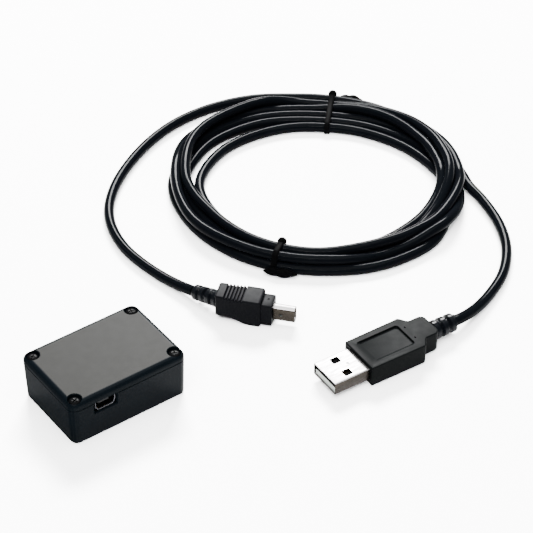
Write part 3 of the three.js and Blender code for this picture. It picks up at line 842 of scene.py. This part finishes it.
def make_plug_a_body():
    """The USB-A plug's moulded body with its sunk panel and two small marks behind it."""
    outline, top = plug_a_outline(), PLUG_A_TOP
    profile = [(inset, PLUG_A_BOTTOM + 0.5 - rise) for inset, rise in reversed(quarter_round(0.5, 4))]
    profile += [(inset, top - 0.4 + rise) for inset, rise in quarter_round(0.4, 6)]
    rings = [[(x, y, z) for x, y in inset_outline(outline, inset)] for inset, z in profile]
    body = to_object("plug_a_body", loft(rings))
    pocket = block((5, -6.3, AXIS_A - 2.55), (15.3, 6.3, AXIS_A + 2.55))
    panel_low = [(x + PANEL_X + 0.7, y + 0.5, top - 0.7) for x, y in round_outline(7.2, 4.7, 0.9, 6)]
    panel_high = [(x + PANEL_X, y, top + 0.02) for x, y in round_outline(8, 5.25, 1.1, 6)]
    above = [(x, y, top + 1) for x, y, _ in panel_high]
    carve(body, [pocket, loft([panel_low, panel_high, above])])
    carve(body, [block((32.4, side * 2.8 - 0.4, top - 0.5), (32.85, side * 2.8 + 0.4, top + 1))
                 for side in (-1, 1)])
    move_mesh(body, PLUG_A_PLACE)
    dress(body, "plug_a", 28)
    return settle_in(body, "usb_cable", "plug_pvc", "usb_a_overmould")


# The last rib is this share of a pitch; the grooves between ribs are this deep, less at the bridges.
LAST_RIB, GROOVE_DEPTH, BRIDGE_FILL = 0.3, 0.36, 0.7


def sleeve(length, start_radius, end_radius, ribs, sides=32, steps=10):
    """A flexible sleeve along X: fat ribs, joined by short bridges that change sides."""
    pitch = length / (ribs + LAST_RIB)
    rings = []
    for station in range(int((ribs + LAST_RIB) * steps) + 1):
        along = station / steps
        x = along * pitch
        taper = start_radius + (end_radius - start_radius) * x / length
        phase = along % 1
        groove = (0.5 - 0.5 * math.cos(2 * math.pi * min(phase / 0.5, 1))) ** 0.7
        number = int(along)
        ring = []
        for i in range(sides):
            turn = 2 * math.pi * i / sides
            bridge = max(0, math.cos(2 * (turn - number * math.pi / 2))) ** 4
            radius = taper * (1 - GROOVE_DEPTH * groove * (1 - BRIDGE_FILL * bridge))
            ring.append((x, radius * math.cos(turn), radius * math.sin(turn)))
        rings.append(ring)
    first = [(0, y * 0.9, z * 0.9) for _, y, z in rings[0]]
    second = [(x + 0.15, y, z) for x, y, z in rings[0]]
    last = [(length, y * 0.82, z * 0.82) for _, y, z in rings[-1]]
    return loft([first, second, *rings[1:], last])


def make_plug_a_sleeve():
    shape = sleeve(10.1, 3.3, 3.1, 3)
    piece = place_piece(shape, PLUG_A_PLACE @ shift(PLUG_A_REAR - 0.9, 0, AXIS_A), "plug_a_sleeve")
    dress(piece, "sleeve", 50)
    return settle_in(piece, "usb_cable", "plug_pvc", "usb_a_strain_relief")


def dress_plug_insides():
    """Pale tongues whose top and bottom faces take the chips' black as painted shade inside the shells, and
    gold contacts.
    """
    for name in ("usb_a_tongue", "mini_plug_tongue"):
        dress(nodes[name], "insert", NODE_SHARP)
        nodes[name].data.materials.append(FINISH["chip"])
        # The top and bottom faces are made black as painted shade.
        for face in nodes[name].data.polygons:
            if abs(face.normal.z) > 0.5:
                face.material_index = 1
        soften(nodes[name], 0.12)
    for name in CONTACTS:
        dress(nodes[name], "contact", NODE_SHARP)
        soften(nodes[name], 0.06)


on_cable = [make_plug_a_shell(), make_plug_a_body(), make_plug_a_sleeve()]
dress_plug_insides()

# ---- mini plug ----

# Its metal shell in section, by (y, height) from its axis. The plug lies on its narrow side.
MINI_SHELL = [(-1.52, -2.25), (-0.5, -2.9), (0.5, -2.9), (1.52, -2.25), (1.52, 2.25), (0.5, 2.9),
              (-0.5, 2.9), (-1.52, 2.25)]


def make_mini_shell():
    outline = round_corners(MINI_SHELL, 0.45, 4)
    shell = to_object("mini_shell", metal_shell(outline, AXIS_B, 10.4, 0.3, 0.3))
    carve(shell, [block((4.0, -3, 3.8), (5.0, 3, 4.8))])
    move_mesh(shell, PLUG_B_PLACE)
    dress_shell(shell)
    return settle_in(shell, "usb_cable", "plated_steel", "mini_plug_shell")


MINI_FRONT, MINI_REAR = 10.7, 25.9
MINI_STATION = 0.095
COLLAR_FRONT = 7.1
RIB_START, RIB_PITCH, RIBS = 16.7, 1.15, 5
GROOVE_SHARE = 0.62


def mini_section(x):
    """The body's half-depth and lowest and highest level at a place along the plug."""
    rear = min(max((x - 14.5) / 7, 0), 1)
    low = 0.02 + 1.9 * rear * rear * (3 - 2 * rear)
    half = 4.15 - 0.4 * min(max((x - 16) / 9, 0), 1)
    along = (x - RIB_START) / RIB_PITCH
    high = 10
    if 0 < along < RIBS + GROOVE_SHARE:
        groove = max(0, math.sin(math.pi * min(along % 1 / GROOVE_SHARE, 1)))
        high -= 0.1 + 0.6 * groove ** 0.6
    return half, low, high


def mini_ring(x, half, low, high, corner):
    """A ring round the plug's body with round corners."""
    middle = (low + high) / 2
    return [(x, y, middle + z) for y, z in round_outline(half, (high - low) / 2, corner, 5)]


def make_mini_body():
    """The mini plug's ribbed body, the collar round its shell and a small mark on the collar."""
    front_edge, rear_edge, corner = 1.0, 0.7, 0.5
    places = [MINI_FRONT + front_edge - rise for _, rise in reversed(quarter_round(front_edge))]
    stations = int((MINI_REAR - rear_edge - MINI_FRONT - front_edge) / MINI_STATION)
    places += [MINI_FRONT + front_edge + MINI_STATION * i for i in range(1, stations)]
    places += [MINI_REAR - rear_edge + rise for _, rise in quarter_round(rear_edge)]
    rings = []
    for x in places:
        half, low, high = mini_section(x)
        inset = 0
        for reach, radius in ((x - MINI_FRONT, front_edge), (MINI_REAR - x, rear_edge)):
            if reach < radius:
                inset += radius - math.sqrt(max(radius ** 2 - (radius - reach) ** 2, 0))
        rings.append(mini_ring(x, half - inset, low + inset * 0.5, high - inset * 0.4, corner))
    body = to_object("mini_body", loft(rings))
    collar = []
    for inset, back in ((0.35, 0), (0.1, 0.1), (0, 0.35), (0, 5.9)):
        collar.append(mini_ring(COLLAR_FRONT + back, 3.35 - inset, 0.6 + inset, 8.7 - inset, 0.6))
    carve(body, [loft(collar)], "UNION")
    pocket = block((5, -1.83, AXIS_B - 3.2), (10.7, 1.83, AXIS_B + 3.2))
    carve(body, [pocket, block((8.6, -0.7, 8.45), (9.3, 0.3, 9.2))])
    move_mesh(body, PLUG_B_PLACE)
    dress(body, "plug", 28)
    return settle_in(body, "usb_cable", "plug_pvc", "mini_plug_overmould")


MINI_SLEEVE_START, MINI_SLEEVE_END = Vector((50.9, 9.0, 5.9)), Vector((47.6, 20.4, 3.4))


def make_mini_sleeve():
    way = MINI_SLEEVE_END - MINI_SLEEVE_START
    place = Matrix.Translation(MINI_SLEEVE_START) @ way.to_track_quat("X", "Z").to_matrix().to_4x4()
    piece = place_piece(sleeve(way.length, 2.95, 2.55, 4), place, "mini_sleeve")
    dress(piece, "sleeve", 50)
    return settle_in(piece, "usb_cable", "plug_pvc", "mini_plug_strain_relief")


on_cable += [make_mini_shell(), make_mini_body(), make_mini_sleeve()]

# ---- ties ----

TIE_WIDTH, TIE_THICK = 1.9, 0.55
TIE_TAIL_TURN = 97
# Strands beyond this radius belong to the leads.
COIL_REACH = 56


def strands_at(degrees):
    """The (radius, height) of every strand that crosses the coil at an angle."""
    offset = route[:, :2] - np.array(COIL_CENTRE)
    angle = np.degrees(np.arctan2(offset[:, 1], offset[:, 0])) - degrees
    angle = (angle + 180) % 360 - 180
    found = []
    for i in np.nonzero((angle[:-1] > 0) & (angle[1:] <= 0) & (angle[:-1] < 20))[0]:
        t = angle[i] / (angle[i] - angle[i + 1])
        point = route[i] + t * (route[i + 1] - route[i])
        radius = math.hypot(point[0] - COIL_CENTRE[0], point[1] - COIL_CENTRE[1])
        if radius < COIL_REACH:
            found.append((radius, point[2]))
    return found


def wrap(points, reach, steps=16):
    """The outline of a band pulled tight round circles of radius reach at the points."""
    cloud = [(x + reach * math.cos(2 * math.pi * i / steps), y + reach * math.sin(2 * math.pi * i / steps))
             for x, y in points for i in range(steps)]
    cloud.sort()

    def half(ordered):
        hull = []
        for point in ordered:
            while len(hull) > 1 and ((hull[-1][0] - hull[-2][0]) * (point[1] - hull[-2][1])
                                     - (hull[-1][1] - hull[-2][1]) * (point[0] - hull[-2][0])) <= 0:
                hull.pop()
            hull.append(point)
        return hull[:-1]

    return half(cloud) + half(cloud[::-1])


def band(degrees):
    """A flat strap wrapped round the strands; its own frame has X outward along the radius."""
    inner = wrap(strands_at(degrees), CABLE_RADIUS + 0.05)
    rings = []
    for grow, y in ((0.12, -0.5), (0, -0.38), (0, 0.38), (0.12, 0.5)):
        rings.append([(x, y * TIE_WIDTH, max(z, 0.2)) for x, z in inset_outline(inner, -grow * 0.3)])
    for grow, y in ((TIE_THICK - 0.1, 0.5), (TIE_THICK, 0.38), (TIE_THICK, -0.38), (TIE_THICK - 0.1, -0.5)):
        rings.append([(x, y * TIE_WIDTH, max(z, 0.02)) for x, z in inset_outline(inner, -grow)])
    return loft(rings, ends=False), inner


def nub(length, radius):
    """A short stub with a round end, standing on Z."""
    profile = [(radius * 0.9, 0), (radius, 0.2), (radius * 1.05, length * 0.55)]
    profile += [(radius * 1.05 * (1 - inset), length * 0.7 + rise * radius)
                for inset, rise in quarter_round(0.98)]
    return lathe(profile, 20)


def twisted(length, radius, turns, sides=16, steps=40):
    """Two strap ends twisted together, along X from 0, thinner at the ends."""
    rings = []
    for station in range(steps + 1):
        t = station / steps
        swell = max(0.08, math.sin(math.pi * (0.02 + 0.96 * t)) ** 0.6)
        ring = []
        for i in range(sides):
            turn = 2 * math.pi * i / sides
            reach = swell * radius * (0.68 + 0.32 * abs(math.cos(turn)))
            angle = turn + 2 * math.pi * turns * t
            ring.append((length * t, reach * math.cos(angle), reach * math.sin(angle)))
        rings.append(ring)
    return loft(rings)


def make_tie(name, node, degrees, tail_side, tail_out, tail_start, tail_size, knob):
    """A strap with its twisted tail lying beside it, and the stub of its end on top."""
    strap, inner = band(degrees)
    outer_edge = max(x for x, _ in inner)
    place = shift(*COIL_CENTRE, 0) @ turn_about(degrees, "Z")
    tail_turn = turn_about(TIE_TAIL_TURN * tail_side, "Z")
    tail_place = shift(outer_edge + tail_out, tail_start * tail_side, 1.7)
    tail = moved_shape(twisted(*tail_size, 1), tail_place @ tail_turn)
    knob_x, knob_z, lean = knob(inner)
    knob_shape = moved_shape(nub(1.4, 1.5), shift(knob_x, 0, knob_z) @ turn_about(lean, "Y"))
    piece = place_piece(joined(strap, tail, knob_shape), place, name)
    dress(piece, "tie", 50)
    return settle_in(piece, "usb_cable", "tie_plastic", node)


def inner_top(inner):
    """Where a stub stands on the strap's inner shoulder, and how far it leans."""
    x, z = max(inner, key=lambda point: point[1] - 0.9 * point[0])
    return x + 0.2, z - 0.5, -38


def outer_top(inner):
    """The same on its outer shoulder."""
    x, z = max(inner, key=lambda point: point[1] + 0.9 * point[0])
    return x - 0.3, z - 0.5, 20


on_cable += [make_tie("tie_front_strap", "tie_front", -144.5, 1, 1.5, -3, (11.5, 1.65), inner_top),
             make_tie("tie_back_strap", "tie_back", 46.8, -1, 0.4, 2.5, (8.5, 1.65), outer_top)]

# ---- cable ----


def make_cable():
    """The whole cable on its route, in place of the CAD's coil and two leads."""
    curve = bpy.data.curves.new("cable", "CURVE")
    curve.dimensions = "3D"
    curve.bevel_depth = CABLE_RADIUS * MM
    curve.bevel_resolution = 6
    spline = curve.splines.new("POLY")
    spline.points.add(len(route) - 1)
    for point, place in zip(spline.points, route):
        point.co = (*(place * MM), 1)
    spline.use_smooth = True
    piece = bpy.data.objects.new("cable", curve)
    scene.collection.objects.link(piece)
    curve.materials.append(FINISH["jacket"])
    return settle_in(piece, "usb_cable", "cable_jacket", "cable_lead_mini", "cable_coil", "cable_lead_a")


make_cable()

# ---- stage ----


FLOOR_HALF = 4


def make_floor():
    mesh = bpy.data.meshes.new("floor")
    corners = [(x * FLOOR_HALF, y * FLOOR_HALF, 0) for x, y in CORNERS.values()]
    mesh.from_pydata(corners, [], [(0, 1, 2, 3)])
    floor = bpy.data.objects.new("floor", mesh)
    scene.collection.objects.link(floor)
    mesh.materials.append(material("floor_white", (0.92, 0.92, 0.92), 0.9, specular=0.0))


def make_light(name, place, size, power):
    """A soft rectangular light, its size in millimetres and its power in watts."""
    data = bpy.data.lights.new(name, "AREA")
    data.shape = "RECTANGLE"
    data.size, data.size_y = (side * MM for side in size)
    data.energy = power
    light = bpy.data.objects.new(name, data)
    scene.collection.objects.link(light)
    aim(light, place, CAMERA_TARGET)


def make_world(strength):
    world = bpy.data.worlds.new("world")
    world.use_nodes = True
    background = world.node_tree.nodes["Background"]
    background.inputs["Color"].default_value = (1, 1, 1, 1)
    background.inputs["Strength"].default_value = strength
    scene.world = world


make_floor()
make_world(0.7)
make_light("sheen", (890, 1140, 1155), (750, 400), 377)
make_light("overhead", (-200, -300, 2300), (2600, 2600), 300)
make_light("front_strip", (-950, -900, 1750), (1500, 50), 90)
